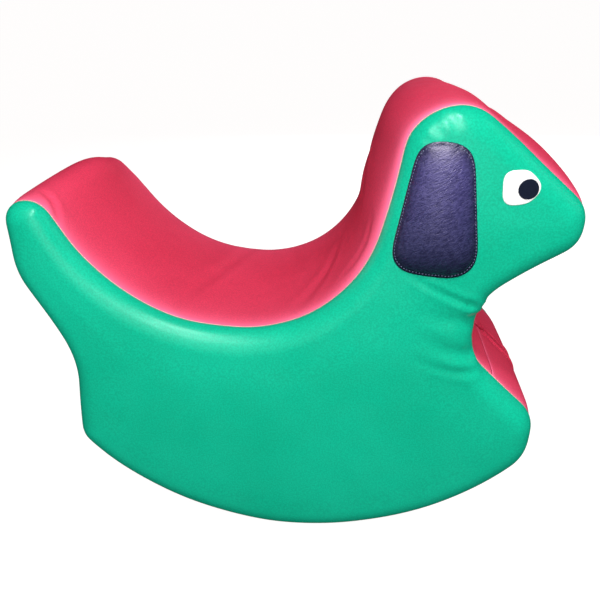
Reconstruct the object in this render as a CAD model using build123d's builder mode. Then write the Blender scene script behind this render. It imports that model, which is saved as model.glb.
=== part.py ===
from build123d import *
from math import cos, radians, sin
import os

# Soft-play rocker shaped like a dog. +X is the way the dog faces, +Z is up, and the
# origin is on the floor under the middle of the overall length. All sizes are in mm.

# Overall section
HALF_WIDTH = 148.0          # side panel's outer face from the mid-plane
EDGE_RADIUS = 26.0          # rounding between a side panel and the edge strip
SEAM_Y = 122.0              # where the side panel is sewn to the edge strip
SKIN = 1.2                  # coated fabric thickness
CORE_DEPTH = 1.5            # foam surface below the skin's outer face
SLAB_JOINT_Y = 50.0         # glue line between the middle slab and a side slab

# Side outline: curved sole
SOLE_RADIUS = 360.0
SOLE_X = 14.3               # centre of the sole arc, straight above the resting point
SOLE_HEEL_ANGLE = 55.5      # arc angle behind the resting point
SOLE_TOE_ANGLE = 49.5       # arc angle ahead of the resting point
HEEL_RADIUS = 34.0
TOE_LOW_RADIUS = 60.0

# Side outline: corner positions (x, z) and their rounding, from the heel over the back
RUMP = (-264.0, 272.0)
RUMP_RADIUS = 120.0
TAIL_BACK = (-313.0, 387.0)
TAIL_BACK_RADIUS = 90.0
TAIL_TIP_BACK = (-304.0, 471.0)
TAIL_TIP_FRONT = (-258.0, 468.0)
TAIL_TIP_RADIUS = 27.5
SEAT_BACK = (-187.0, 316.0)
SEAT_BACK_RADIUS = 205.0
SEAT_FRONT = (64.0, 302.0)
SEAT_FRONT_RADIUS = 159.0
CROWN = (153.0, 588.0)
CROWN_RADIUS = 50.0
NOSE_TOP = (311.7, 441.0)
NOSE_LOW = (309.7, 403.0)
NOSE_RADIUS = 33.0
NOSE_LOW_RADIUS = 30.0
THROAT_TOP = (206.0, 341.0)
THROAT_LOW = (202.0, 269.0)
THROAT_RADIUS = 68.0
THROAT_LOW_RADIUS = 60.0
TOE_TOP = (290.0, 184.0)
TOE_TOP_RADIUS = 45.0

# Zip opening along the middle of the sole, from the chest to the rump
ZIP_CHEST = (234.0, 236.0)
ZIP_RUMP = (-268.0, 198.0)
ZIP_END_STEP = 5.0          # tape, then teeth, stop this far short of one another
PLACKET_Y = 14.0            # outer line of the folded placket
PLACKET_GAP_Y = 5.2         # half the gap between the two folds
PLACKET_DEPTH = 4.6
TAPE_DEPTH = 0.6
TEETH_Y = 3.2
TEETH_GAP_Y = 1.0
TEETH_TOP = 4.1
TEETH_DEPTH = 1.6
CHANNEL_Y = 14.5            # relief in the foam for the zip
CHANNEL_DEPTH = 8.0

# Zip slider and its pull, parked near the heel
SLIDER_ANGLE = 45.0         # arc angle behind the resting point
SLIDER_HALF_ANGLE = 1.0
SLIDER_Y = 4.4
SLIDER_PLATE = 0.9
SLIDER_TOP = 2.7
SLIDER_BASE = 6.2
SLIDER_POST_Y = 0.5
CHEEK_Y = 2.8
CHEEK_HALF_ANGLE = 0.3
PIN_DEPTH = 1.3             # pull's pivot below the skin's outer face
PIN_RADIUS = 0.45
PULL_EYE_RADIUS = 1.3
PULL_HOLE_RADIUS = 0.7
PULL_NECK_Y = 2.2
PULL_Y = 3.5
PULL_LENGTH = 24.0
PULL_NECK_LENGTH = 5.0
PULL_THICKNESS = 1.0

# Ear: a padded patch with a stitched rim
EAR_TOP_BACK = (143.0, 519.0)
EAR_TOP_FRONT = (193.0, 513.0)
EAR_LOW_FRONT = (206.0, 372.0)
EAR_LOW_BACK = (112.0, 386.0)
EAR_RADII = (17.0, 21.0, 24.0, 22.0)
EAR_RIM_DEPTH = 2.4
EAR_RIM_WIDTH = 7.0
EAR_HEIGHT = 12.0
EAR_CROWN_RADIUS = 6.0
EAR_STITCH_INSET = 3.5
EAR_STITCHES = 84
STITCH_LENGTH = 3.0
STITCH_WIDTH = 0.7
STITCH_DEPTH = 0.5

# Eye: a white patch with a round pupil on it
EYE_CORNERS = ((222.0, 488.0), (223.0, 452.0), (249.0, 454.0), (263.0, 470.0), (247.0, 487.0))
EYE_RADII = (8.0, 9.0, 12.0, 9.0, 11.0)
PATCH_DEPTH = 0.8
PUPIL_CENTRE = (247.0, 468.5)
PUPIL_RADIUS = 10.0


def on_sole(angle):
    """Point (x, z) of the sole arc, at an angle ahead of the resting point."""
    x = SOLE_X + SOLE_RADIUS * sin(radians(angle))
    z = SOLE_RADIUS - SOLE_RADIUS * cos(radians(angle))
    return (x, z)


def side_outline(inset, y):
    """Side outline of the dog, drawn in by inset, on the plane at y and facing -Y."""
    heel = on_sole(-SOLE_HEEL_ANGLE)
    toe = on_sole(SOLE_TOE_ANGLE)
    corners = (heel, RUMP, TAIL_BACK, TAIL_TIP_BACK, TAIL_TIP_FRONT, SEAT_BACK, SEAT_FRONT, CROWN,
               NOSE_TOP, NOSE_LOW, THROAT_TOP, THROAT_LOW, TOE_TOP, toe)
    radii = (RUMP_RADIUS, TAIL_BACK_RADIUS, TAIL_TIP_RADIUS, TAIL_TIP_RADIUS, SEAT_BACK_RADIUS,
             SEAT_FRONT_RADIUS, CROWN_RADIUS, NOSE_RADIUS, NOSE_LOW_RADIUS, THROAT_RADIUS,
             THROAT_LOW_RADIUS, TOE_TOP_RADIUS)
    with BuildSketch(Plane.XZ.offset(-y)) as face:
        with BuildLine():
            FilletPolyline(*corners, radius=list(radii))
            ThreePointArc(toe, (SOLE_X, 0.0), heel)
        make_face()
        fillet(face.vertices().sort_by_distance(heel)[0], HEEL_RADIUS)
        fillet(face.vertices().sort_by_distance(toe)[0], TOE_LOW_RADIUS)
        if inset > 0:
            offset(amount=-inset)
    return face.sketch


def block(inset, y_low, y_high):
    """Straight slab of the side outline between two heights across the width."""
    profile = side_outline(inset, y_high)
    with BuildPart() as slab:
        extrude(profile, amount=y_high - y_low)
    return slab.part


def body(inset):
    """Whole dog with its rounded side edges, drawn in by inset all over."""
    straight = block(inset, inset - HALF_WIDTH, HALF_WIDTH - inset)
    with BuildPart() as dog:
        add(straight)
        sides = dog.faces().sort_by(Axis.Y)
        fillet(sides[0].edges() + sides[-1].edges(), EDGE_RADIUS - inset)
    return dog.part


def band(depth, thickness, y_low, y_high):
    """Closed strip that follows the outline, its outer face at depth below the skin."""
    outer = block(depth, y_low, y_high)
    inner = block(depth + thickness, y_low, y_high)
    with BuildPart() as strip:
        add(outer)
        add(inner, mode=Mode.SUBTRACT)
    return strip.part


def sole_sector(depth, thickness, half_angle, y_low, y_high):
    """Short arc block about the sole's centre, at the slider's place."""
    start = 270.0 - SLIDER_ANGLE - half_angle
    outer_radius = SOLE_RADIUS - depth
    with BuildPart() as sector:
        with BuildSketch(Plane.XZ.offset(-y_high)):
            with BuildLine():
                outer = CenterArc((SOLE_X, SOLE_RADIUS), outer_radius, start, 2 * half_angle)
                inner = CenterArc((SOLE_X, SOLE_RADIUS), outer_radius - thickness, start, 2 * half_angle)
                Line(outer @ 0, inner @ 0)
                Line(outer @ 1, inner @ 1)
            make_face()
        extrude(amount=y_high - y_low)
    return sector.part


def ear_outline(inset, height):
    """Ear's outline on the right side panel, drawn in by inset, at a height off the panel."""
    corners = (EAR_TOP_BACK, EAR_TOP_FRONT, EAR_LOW_FRONT, EAR_LOW_BACK)
    with BuildSketch(Plane.XZ.offset(HALF_WIDTH + height)) as face:
        with BuildLine():
            FilletPolyline(*corners, radius=list(EAR_RADII), close=True)
        make_face()
        if inset > 0:
            offset(amount=-inset)
    return face.sketch


# The plane that parts the strip over the back from the two sole strips
zip_run = Vector(ZIP_CHEST[0] - ZIP_RUMP[0], 0, ZIP_CHEST[1] - ZIP_RUMP[1]).normalized()
zip_plane = Plane(origin=(ZIP_CHEST[0], 0, ZIP_CHEST[1]), x_dir=zip_run, z_dir=(-zip_run.Z, 0, zip_run.X))

# Foam core: three glued slabs. The middle one has a relief for the zip.
core_solid = body(CORE_DEPTH)
channel_ring = band(0, CHANNEL_DEPTH, -CHANNEL_Y, CHANNEL_Y)

with BuildPart() as zip_channel:
    add(channel_ring)
    split(bisect_by=zip_plane, keep=Keep.BOTTOM)

with BuildPart() as core_slab_middle:
    add(core_solid)
    split(bisect_by=Plane.XZ.offset(-SLAB_JOINT_Y), keep=Keep.TOP)
    split(bisect_by=Plane.XZ.offset(SLAB_JOINT_Y), keep=Keep.BOTTOM)
    add(zip_channel.part, mode=Mode.SUBTRACT)

with BuildPart() as core_slab_right:
    add(core_solid)
    split(bisect_by=Plane.XZ.offset(SLAB_JOINT_Y), keep=Keep.TOP)

with BuildPart() as core_slab_left:
    mirror(core_slab_right.part, about=Plane.XZ)

# Cover: two side panels, one strip over the back, two strips under the sole
cover_outside = body(0)
cover_inside = body(SKIN)

with BuildPart() as cover:
    add(cover_outside)
    add(cover_inside, mode=Mode.SUBTRACT)

with BuildPart() as side_panel_right:
    add(cover.part)
    split(bisect_by=Plane.XZ.offset(SEAM_Y), keep=Keep.TOP)

with BuildPart() as side_panel_left:
    mirror(side_panel_right.part, about=Plane.XZ)

edge_ring = band(0, SKIN, -SEAM_Y, SEAM_Y)

with BuildPart() as upper_gusset:
    add(edge_ring)
    split(bisect_by=zip_plane, keep=Keep.TOP)

sole_ring = band(0, SKIN, -SEAM_Y, -PLACKET_GAP_Y)
placket_ring = band(0, PLACKET_DEPTH, -PLACKET_Y, -PLACKET_GAP_Y)

with BuildPart() as lower_gusset_right:
    add(sole_ring)
    add(placket_ring)
    split(bisect_by=zip_plane, keep=Keep.BOTTOM)

with BuildPart() as lower_gusset_left:
    mirror(lower_gusset_right.part, about=Plane.XZ)

# Zip: a tape and a row of teeth on each side, and a stop across each end
tape_plane = zip_plane.offset(-ZIP_END_STEP)
stop_plane = zip_plane.offset(-2 * ZIP_END_STEP)
teeth_plane = zip_plane.offset(-3 * ZIP_END_STEP)
tape_ring = band(PLACKET_DEPTH, TAPE_DEPTH, -PLACKET_Y, -TEETH_Y)
teeth_ring = band(TEETH_TOP, TEETH_DEPTH, -TEETH_Y, -TEETH_GAP_Y)
stop_ring = band(TEETH_TOP, TEETH_DEPTH, -TEETH_Y, TEETH_Y)

with BuildPart() as zip_tape_right:
    add(tape_ring)
    split(bisect_by=tape_plane, keep=Keep.BOTTOM)

with BuildPart() as zip_tape_left:
    mirror(zip_tape_right.part, about=Plane.XZ)

with BuildPart() as zip_teeth_right:
    add(teeth_ring)
    split(bisect_by=teeth_plane, keep=Keep.BOTTOM)

with BuildPart() as zip_teeth_left:
    mirror(zip_teeth_right.part, about=Plane.XZ)

with BuildPart() as zip_stops:
    add(stop_ring)
    split(bisect_by=stop_plane, keep=Keep.BOTTOM)
    split(bisect_by=teeth_plane, keep=Keep.TOP)

with BuildPart() as zip_stop_chest:
    add(zip_stops.part)
    split(bisect_by=Plane.YZ, keep=Keep.TOP)

with BuildPart() as zip_stop_rump:
    add(zip_stops.part)
    split(bisect_by=Plane.YZ, keep=Keep.BOTTOM)

# Slider: two plates joined by a post between the teeth rows, and two cheeks with a pin
slider_out = (-sin(radians(SLIDER_ANGLE)), -cos(radians(SLIDER_ANGLE)))
pin_reach = SOLE_RADIUS - PIN_DEPTH
pin_centre = (SOLE_X + pin_reach * slider_out[0], SOLE_RADIUS + pin_reach * slider_out[1])
top_plate = sole_sector(SLIDER_TOP, SLIDER_PLATE, SLIDER_HALF_ANGLE, -SLIDER_Y, SLIDER_Y)
base_plate = sole_sector(SLIDER_BASE, SLIDER_PLATE, SLIDER_HALF_ANGLE, -SLIDER_Y, SLIDER_Y)
post = sole_sector(SLIDER_TOP, SLIDER_BASE - SLIDER_TOP + SLIDER_PLATE, SLIDER_HALF_ANGLE,
                   -SLIDER_POST_Y, SLIDER_POST_Y)
cheek_right = sole_sector(0.0, SLIDER_TOP + SLIDER_PLATE, CHEEK_HALF_ANGLE, -SLIDER_Y + 0.4, -CHEEK_Y)
cheek_left = sole_sector(0.0, SLIDER_TOP + SLIDER_PLATE, CHEEK_HALF_ANGLE, CHEEK_Y, SLIDER_Y - 0.4)

with BuildPart() as zip_slider:
    add(top_plate)
    add(base_plate)
    add(post)
    add(cheek_right)
    add(cheek_left)
    with BuildSketch(Plane.XZ.offset(-CHEEK_Y)):
        with Locations(pin_centre):
            Circle(PIN_RADIUS)
    extrude(amount=2 * CHEEK_Y)

# Pull: hangs straight down from the slider's pin
pull_side = Plane(origin=(pin_centre[0], 0, pin_centre[1]), x_dir=(0, 1, 0), z_dir=(1, 0, 0))

with BuildPart() as zip_pull:
    with BuildSketch(Plane.XZ.offset(-PULL_NECK_Y)):
        with Locations(pin_centre):
            Circle(PULL_EYE_RADIUS)
    extrude(amount=2 * PULL_NECK_Y)
    with BuildSketch(pull_side.offset(-PULL_THICKNESS / 2)) as pull_blade:
        with Locations((0, -PULL_NECK_LENGTH / 2)):
            Rectangle(2 * PULL_NECK_Y, PULL_NECK_LENGTH)
        with Locations((0, -(PULL_NECK_LENGTH + PULL_LENGTH) / 2)):
            Rectangle(2 * PULL_Y, PULL_LENGTH - PULL_NECK_LENGTH)
        fillet(pull_blade.vertices().group_by(Axis.Y)[0], PULL_Y - 0.5)
    extrude(amount=PULL_THICKNESS)
    with BuildSketch(Plane.XZ.offset(-PULL_NECK_Y)):
        with Locations(pin_centre):
            Circle(PULL_HOLE_RADIUS)
    extrude(amount=2 * PULL_NECK_Y, mode=Mode.SUBTRACT)

# Ears: a padded vinyl patch on each side panel, over a piece of wadding
ear_rim_face = ear_outline(0, 0)
ear_pad_face = ear_outline(EAR_RIM_WIDTH, 0)
wadding_face = ear_outline(EAR_RIM_WIDTH + SKIN, SKIN)

with BuildPart() as ear_wadding_right:
    extrude(wadding_face, amount=EAR_HEIGHT - 2 * SKIN)
    fillet(ear_wadding_right.faces().sort_by(Axis.Y)[0].edges(), EAR_CROWN_RADIUS - SKIN)

with BuildPart() as ear_wadding_left:
    mirror(ear_wadding_right.part, about=Plane.XZ)

with BuildPart() as ear_pad:
    extrude(ear_pad_face, amount=EAR_HEIGHT)
    fillet(ear_pad.faces().sort_by(Axis.Y)[0].edges(), EAR_CROWN_RADIUS)

with BuildPart() as ear_right:
    extrude(ear_rim_face, amount=EAR_RIM_DEPTH)
    add(ear_pad.part)
    add(ear_wadding_right.part, mode=Mode.SUBTRACT)

with BuildPart() as ear_left:
    mirror(ear_right.part, about=Plane.XZ)

stitch_line = ear_outline(EAR_STITCH_INSET, EAR_RIM_DEPTH).face().outer_wire()
stitch_planes = []
for index in range(EAR_STITCHES):
    share = index / EAR_STITCHES
    stitch_planes.append(Plane(origin=stitch_line @ share, x_dir=stitch_line % share, z_dir=(0, -1, 0)))

with BuildPart() as ear_stitches_right:
    with Locations(*stitch_planes):
        Box(STITCH_LENGTH, STITCH_WIDTH, STITCH_DEPTH, align=(Align.CENTER, Align.CENTER, Align.MIN))

with BuildPart() as ear_stitches_left:
    mirror(ear_stitches_right.part, about=Plane.XZ)

# Eyes: a white patch sewn to each side panel and a dark pupil on it
with BuildPart() as eye_white_right:
    with BuildSketch(Plane.XZ.offset(HALF_WIDTH)):
        with BuildLine():
            FilletPolyline(*EYE_CORNERS, radius=list(EYE_RADII), close=True)
        make_face()
    extrude(amount=PATCH_DEPTH)

with BuildPart() as eye_white_left:
    mirror(eye_white_right.part, about=Plane.XZ)

with BuildPart() as eye_pupil_right:
    with BuildSketch(Plane.XZ.offset(HALF_WIDTH + PATCH_DEPTH)):
        with Locations(PUPIL_CENTRE):
            Circle(PUPIL_RADIUS)
    extrude(amount=PATCH_DEPTH)

with BuildPart() as eye_pupil_left:
    mirror(eye_pupil_right.part, about=Plane.XZ)

pieces = {
    "core_slab_left": core_slab_left,
    "core_slab_middle": core_slab_middle,
    "core_slab_right": core_slab_right,
    "side_panel_left": side_panel_left,
    "side_panel_right": side_panel_right,
    "upper_gusset": upper_gusset,
    "lower_gusset_left": lower_gusset_left,
    "lower_gusset_right": lower_gusset_right,
    "zip_tape_left": zip_tape_left,
    "zip_tape_right": zip_tape_right,
    "zip_teeth_left": zip_teeth_left,
    "zip_teeth_right": zip_teeth_right,
    "zip_stop_chest": zip_stop_chest,
    "zip_stop_rump": zip_stop_rump,
    "zip_slider": zip_slider,
    "zip_pull": zip_pull,
    "ear_left": ear_left,
    "ear_right": ear_right,
    "ear_wadding_left": ear_wadding_left,
    "ear_wadding_right": ear_wadding_right,
    "ear_stitches_left": ear_stitches_left,
    "ear_stitches_right": ear_stitches_right,
    "eye_white_left": eye_white_left,
    "eye_white_right": eye_white_right,
    "eye_pupil_left": eye_pupil_left,
    "eye_pupil_right": eye_pupil_right,
}

os.makedirs("parts", exist_ok=True)
for name, piece in pieces.items():
    piece.part.label = name
    export_step(piece.part, f"parts/{name}.step")
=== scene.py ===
# %% [markdown]
# # A soft play rocker: a foam dog in a zipped vinyl cover
# The real thing is a block of polyurethane foam cut to the side view of a dog, with a cover of
# coated fabric sewn round it. Two green panels make the sides, one red strip runs round the edge
# between them, and a zip lies along the sole. Ears and eyes are sewn on the panels.
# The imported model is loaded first. It is fixed: every soft piece below takes its place from it.

# %% Load the fixed frame
import math
import bpy
import bmesh
import numpy as np
from mathutils import Matrix, Vector
from mathutils.bvhtree import BVHTree
from mathutils.geometry import convex_hull_2d, delaunay_2d_cdt


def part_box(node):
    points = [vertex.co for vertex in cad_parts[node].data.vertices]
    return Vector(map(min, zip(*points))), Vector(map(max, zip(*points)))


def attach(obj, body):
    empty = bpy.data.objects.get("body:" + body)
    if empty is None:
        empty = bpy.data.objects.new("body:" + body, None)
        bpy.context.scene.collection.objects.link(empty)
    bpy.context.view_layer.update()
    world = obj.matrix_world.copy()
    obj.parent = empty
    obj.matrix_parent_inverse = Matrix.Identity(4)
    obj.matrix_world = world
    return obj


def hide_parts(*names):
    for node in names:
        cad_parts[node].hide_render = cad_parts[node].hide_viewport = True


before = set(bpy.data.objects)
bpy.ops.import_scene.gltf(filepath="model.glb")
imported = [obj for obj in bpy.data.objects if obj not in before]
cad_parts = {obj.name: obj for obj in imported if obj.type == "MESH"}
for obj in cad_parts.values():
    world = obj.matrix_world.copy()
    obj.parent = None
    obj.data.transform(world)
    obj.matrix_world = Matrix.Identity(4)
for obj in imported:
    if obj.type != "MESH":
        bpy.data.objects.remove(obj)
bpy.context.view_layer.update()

MM = 0.001

# %% [markdown]
# ## The camera
# A compact camera held at a child's eye level, looking down on the dog's right side. The lens is
# a normal 36 mm one, and the body leans a little, as a hand-held camera does. Setting it first
# means that each piece can be judged from the view that matters most.

# %% Place the camera
CAMERA_LENS = 36.42
CAMERA_PITCH = math.radians(26.34)
CAMERA_YAW = math.radians(4.81)
CAMERA_LEAN = math.radians(3.2)
CAMERA_PLACE = Vector((0.0845, -0.7387, 0.6420))


def new_object(name, data):
    """An object for a camera, a lamp or a mesh, put in the scene."""
    made = bpy.data.objects.new(name, data)
    bpy.context.scene.collection.objects.link(made)
    return made


camera_data = bpy.data.cameras.new("camera")
camera_data.lens = CAMERA_LENS
camera_data.sensor_width = 36.0
camera = new_object("camera", camera_data)
camera.matrix_world = (Matrix.Translation(CAMERA_PLACE)
                       @ Matrix.Rotation(CAMERA_LEAN, 4, "Y")
                       @ Matrix.Rotation(CAMERA_YAW, 4, "Z")
                       @ Matrix.Rotation(math.pi / 2 - CAMERA_PITCH, 4, "X"))
bpy.context.scene.camera = camera
print("camera at", [round(v, 3) for v in CAMERA_PLACE])

# %% [markdown]
# ## Floor and light
# A pale floor that sweeps up into a wall all round, like a studio's roll of paper made into a
# dish, so no horizon shows from any side. Two lamps hang high on the viewer's side, so skin that
# turns up towards them shines and the under-curves go deep. A low one, one at the dog's front and
# one behind only fill, and don't show in the gloss. The paper is bright by itself and is kept out
# of the bounced light, because a white floor all round would wash out the vinyl.

# %% Make the floor, the surroundings and the lights
def new_material(name):
    """An empty node material and its main shader."""
    material = bpy.data.materials.new(name)
    material.use_nodes = True
    return material, material.node_tree.nodes["Principled BSDF"]


def dress(node, **given):
    """Fill a node's sockets: a link from another's output, a colour, a list or a plain number."""
    for name, value in given.items():
        socket = node.inputs[name.replace("_", " ")]
        if isinstance(value, bpy.types.NodeSocket):
            node.id_data.links.new(value, socket)
        else:
            socket.default_value = (*value, 1) if isinstance(value, tuple) else value


def ring_faces(rings, around, closed=False, first=0):
    """Quads between rings of points stored ring by ring; closed joins the last ring to the first."""
    pairs = [(first + r * around, first + (r + 1) % rings * around)
             for r in range(rings if closed else rings - 1)]
    return [(a + k, b + k, b + (k + 1) % around, a + (k + 1) % around)
            for a, b in pairs for k in range(around)]


def paper_dish(flat_radius=3.2, sweep=3.0, wall=7.0, around=96):
    """Flat in the middle, then a quarter round up to a wall."""
    turn = [math.radians(a) for a in range(0, 91, 6)]
    profile = [(flat_radius * k / 4, 0.0) for k in (1, 2, 3)]
    profile += [(flat_radius + sweep * math.sin(a), sweep * (1 - math.cos(a))) for a in turn]
    profile.append((flat_radius + sweep, wall))
    compass = [2 * math.pi * k / around for k in range(around)]
    points = [(0.0, 0.0, 0.0)]
    for radius, z in profile:
        points += [(radius * math.cos(a), radius * math.sin(a), z) for a in compass]
    faces = [(0, 1 + k, 1 + (k + 1) % around) for k in range(around)]
    faces += ring_faces(len(profile), around, first=1)
    mesh = bpy.data.meshes.new("floor")
    mesh.from_pydata(points, [], faces)
    mesh.polygons.foreach_set("use_smooth", [True] * len(mesh.polygons))
    return mesh


floor_mesh = paper_dish()
floor = new_object("floor", floor_mesh)
floor_material, floor_shader = new_material("floor_paper")
dress(floor_shader, Base_Color=(0.30, 0.30, 0.30), Roughness=0.9, Specular_IOR_Level=0.0,
      Emission_Color=(1.0, 0.985, 0.980), Emission_Strength=0.92)
floor_mesh.materials.append(floor_material)
floor.visible_diffuse = False
floor.visible_glossy = False
floor.visible_shadow = False

world = bpy.data.worlds.new("room")
bpy.context.scene.world = world
world.use_nodes = True
dress(world.node_tree.nodes["Background"], Color=(1.0, 0.99, 0.985), Strength=0.21)
world.cycles_visibility.glossy = False
bpy.context.scene.view_settings.view_transform = "Standard"


def area_light(name, place, aim, size, power, glossy=True):
    """A square soft light at place, facing aim; glossy says whether it shows in reflections."""
    data = bpy.data.lights.new(name, "AREA")
    data.size = size
    data.energy = power
    lamp = new_object(name, data)
    lamp.location = place
    lamp.rotation_euler = (Vector(aim) - Vector(place)).to_track_quat("-Z", "Y").to_euler()
    lamp.visible_glossy = glossy


area_light("lamp_over", (0.16, -0.62, 1.62), (0.0, -0.05, 0.3), 0.16, 9.0)
area_light("lamp_high", (0.04, -1.05, 1.22), (0, 0, 0.26), 0.55, 8.2)
area_light("lamp_low", (0.04, -1.25, 0.52), (-0.06, 0, 0.26), 0.8, 7.6, glossy=False)
area_light("lamp_side", (1.6, -0.1, 1.1), (0, 0, 0.25), 1.0, 11, glossy=False)
area_light("lamp_behind", (0.5, 2.2, 0.9), (0, 0, 0.25), 1.0, 22, glossy=False)

# %% [markdown]
# ## Vinyl
# The cover is knitted fabric with a soft PVC face, embossed with a fine grain. Its gloss is
# broad, so roughness is near 0.4 and varies a little. Cells about a millimetre wide give the
# grain. A fine mottle and a slow cloudiness keep a large panel from looking like flat paint.

# %% Make the vinyl materials
def add_node(material, kind, **given):
    """A new node in a material, with its sockets filled."""
    node = material.node_tree.nodes.new(kind)
    dress(node, **given)
    return node


def own_place(material):
    """The piece's own coordinates, in metres."""
    return add_node(material, "ShaderNodeTexCoord").outputs["Object"]


def noise(material, scale, detail=2.0, stretch=(1, 1, 1), turn=(0, 0, 0), warp=0.0):
    """Noise on the piece's own coordinates; scale is in features per metre."""
    mapping = add_node(material, "ShaderNodeMapping", Vector=own_place(material),
                       Scale=[1 / share for share in stretch], Rotation=list(turn))
    mapping.vector_type = "TEXTURE"
    texture = add_node(material, "ShaderNodeTexNoise", Vector=mapping.outputs["Vector"],
                       Scale=scale, Detail=detail, Distortion=warp)
    return texture.outputs["Fac"]


def span(material, value, low, high, from_low=0.3, from_high=0.7):
    """Value carried from one range to another."""
    node = add_node(material, "ShaderNodeMapRange", Value=value, From_Min=from_low, From_Max=from_high,
                    To_Min=low, To_Max=high)
    return node.outputs["Result"]


def two_tone(material, value, dark, light):
    """Colour between dark and light, each a plain colour or another node's output."""
    node = add_node(material, "ShaderNodeMix")
    node.data_type = "RGBA"
    dress(node, A=dark, B=light, Factor=value)
    return node.outputs["Result"]


def marked(material, name):
    """The amount that a piece carries at each point under a name."""
    node = add_node(material, "ShaderNodeAttribute")
    node.attribute_name = name
    return node.outputs["Fac"]


def mark(piece, name, amounts):
    """Store an amount from 0 to 1 at each point of a piece under a name."""
    attribute = piece.data.attributes.new(name, "FLOAT", "POINT")
    attribute.data.foreach_set("value", np.clip(amounts, 0, 1))


def bump(material, height, depth, strength=1.0, under=None):
    """Bump of a real depth in metres, on top of another one."""
    node = add_node(material, "ShaderNodeBump", Height=height, Distance=depth, Strength=strength)
    if under is not None:
        dress(node, Normal=under)
    return node.outputs["Normal"]


def grain_cells(material, scale):
    """Embossed pebble grain: distance to the nearest cell centre."""
    cells = add_node(material, "ShaderNodeTexVoronoi", Vector=own_place(material), Scale=scale)
    return cells.outputs["Distance"]


GRAIN = 800.0
GRAIN_DEPTH = 0.0001
MOTTLE = 560.0
MOTTLE_CONTRAST = 0.10


def vinyl(name, dark, light, rough=0.40, tint=(1, 1, 1), shine=0.5, pale=None):
    """Coated fabric: cloudy, finely mottled colour, broad gloss, embossed grain, painted highlight where
    marked.
    """
    material, shader = new_material(name)
    cloud = span(material, noise(material, 7.0, 3.0), 0.0, 1.0)
    speckle = span(material, noise(material, MOTTLE, 2.0), 0.0, 1.0, 0.38, 0.62)
    deep, bright = (two_tone(material, cloud, tuple(c * share for c in dark), tuple(c * share for c in light))
                    for share in (1 - MOTTLE_CONTRAST, 1 + MOTTLE_CONTRAST))
    colour = two_tone(material, speckle, deep, bright)
    # The pale colour is a painted highlight, mixed in by the amount marked at each point
    if pale:
        colour = two_tone(material, marked(material, "painted_highlight"), colour, pale)
    rub = span(material, noise(material, 38.0, 4.0), rough - 0.04, rough + 0.05)
    soft = bump(material, noise(material, 22.0, 2.0), 0.0006, 0.35)
    grained = bump(material, grain_cells(material, GRAIN), GRAIN_DEPTH, 0.6, soft)
    dress(shader, Base_Color=colour, Roughness=rub, Normal=grained,
          Specular_IOR_Level=shine, Specular_Tint=tint)
    return material


green_vinyl = vinyl("green_vinyl", (0.002, 0.425, 0.246), (0.004, 0.480, 0.288),
                    rough=0.34, tint=(0.65, 1, 0.92), shine=0.58)
# The red's pale pink is a painted highlight along the seams
red_vinyl = vinyl("red_vinyl", (0.66, 0.034, 0.080), (0.74, 0.046, 0.104),
                  rough=0.48, tint=(1, 0.28, 0.66), shine=0.6, pale=(1.0, 0.20, 0.36))
white_vinyl = vinyl("white_vinyl", (0.90, 0.89, 0.885), (0.95, 0.94, 0.935), rough=0.35)
black_vinyl = vinyl("black_vinyl", (0.006, 0.009, 0.020), (0.010, 0.014, 0.030), rough=0.33, shine=0.2)
seam_backing = vinyl("seam_backing", (0.80, 0.30, 0.30), (0.90, 0.44, 0.42), rough=0.7)
print("vinyl materials", len(bpy.data.materials))

# %% [markdown]
# ## The side outline
# The foam is cut from a sheet like a biscuit, so one closed outline rules the whole toy. It is
# read from the foam slab's own section and evened out to equal steps. Every strip and panel is
# then a walk along this line, which keeps all the edges that are sewn together exactly alike.

# %% Read the outline from the foam and even it out
COLUMNS = 720
SLAB_CUT = -0.075
HALF = -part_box("side_panel_right")[0].y / MM
CORE_GAP = (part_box("side_panel_right")[1].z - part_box("core_slab_right")[1].z) / MM


def section_loop(node, y):
    """Ordered (x, z) points in mm where a plane across the width cuts a frame node."""
    cut = bmesh.new()
    cut.from_mesh(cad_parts[node].data)
    bmesh.ops.remove_doubles(cut, verts=cut.verts, dist=1e-6)
    found = bmesh.ops.bisect_plane(cut, geom=cut.verts[:] + cut.edges[:] + cut.faces[:],
                                   plane_co=(0, y, 0), plane_no=(0, 1, 0))
    beside = {}
    for edge in found["geom_cut"]:
        if isinstance(edge, bmesh.types.BMEdge):
            a, b = edge.verts
            beside.setdefault(a, []).append(b)
            beside.setdefault(b, []).append(a)
    start = next(iter(beside))
    loop = [start, beside[start][0]]
    while len(loop) <= len(beside):
        ahead = [v for v in beside[loop[-1]] if v is not loop[-2]]
        if not ahead or ahead[0] is start:
            break
        loop.append(ahead[0])
    points = np.array([(v.co.x, v.co.z) for v in loop]) / MM
    cut.free()
    return points


def smooth_ring(values, reach):
    """Gaussian smoothing round a closed ring of values; reach is in steps."""
    kernel = np.exp(-2 * (np.pi * np.fft.fftfreq(len(values)) * reach) ** 2)
    if values.ndim > 1:
        kernel = kernel[:, None]
    return np.real(np.fft.ifft(np.fft.fft(values, axis=0) * kernel, axis=0))


def even_loop(points, count, reach):
    """The closed loop in equal steps, anticlockwise, from its lowest point."""
    x, z = points.T
    if np.sum(x * np.roll(z, -1) - np.roll(x, -1) * z) < 0:
        points = points[::-1]
    closed = np.vstack([points, points[:1]])
    run = np.r_[0, np.cumsum(np.hypot(*np.diff(closed, axis=0).T))]
    steps = np.linspace(0, run[-1], count, endpoint=False)
    even = np.column_stack([np.interp(steps, run, closed[:, k]) for k in (0, 1)])
    even = smooth_ring(even, reach)
    return np.roll(even, -int(np.argmin(even[:, 1])), axis=0)


def outward(loop):
    """Unit normals of an anticlockwise loop, pointing out."""
    step = np.roll(loop, -1, axis=0) - np.roll(loop, 1, axis=0)
    step /= np.hypot(*step.T)[:, None]
    return np.column_stack([step[:, 1], -step[:, 0]])


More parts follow.
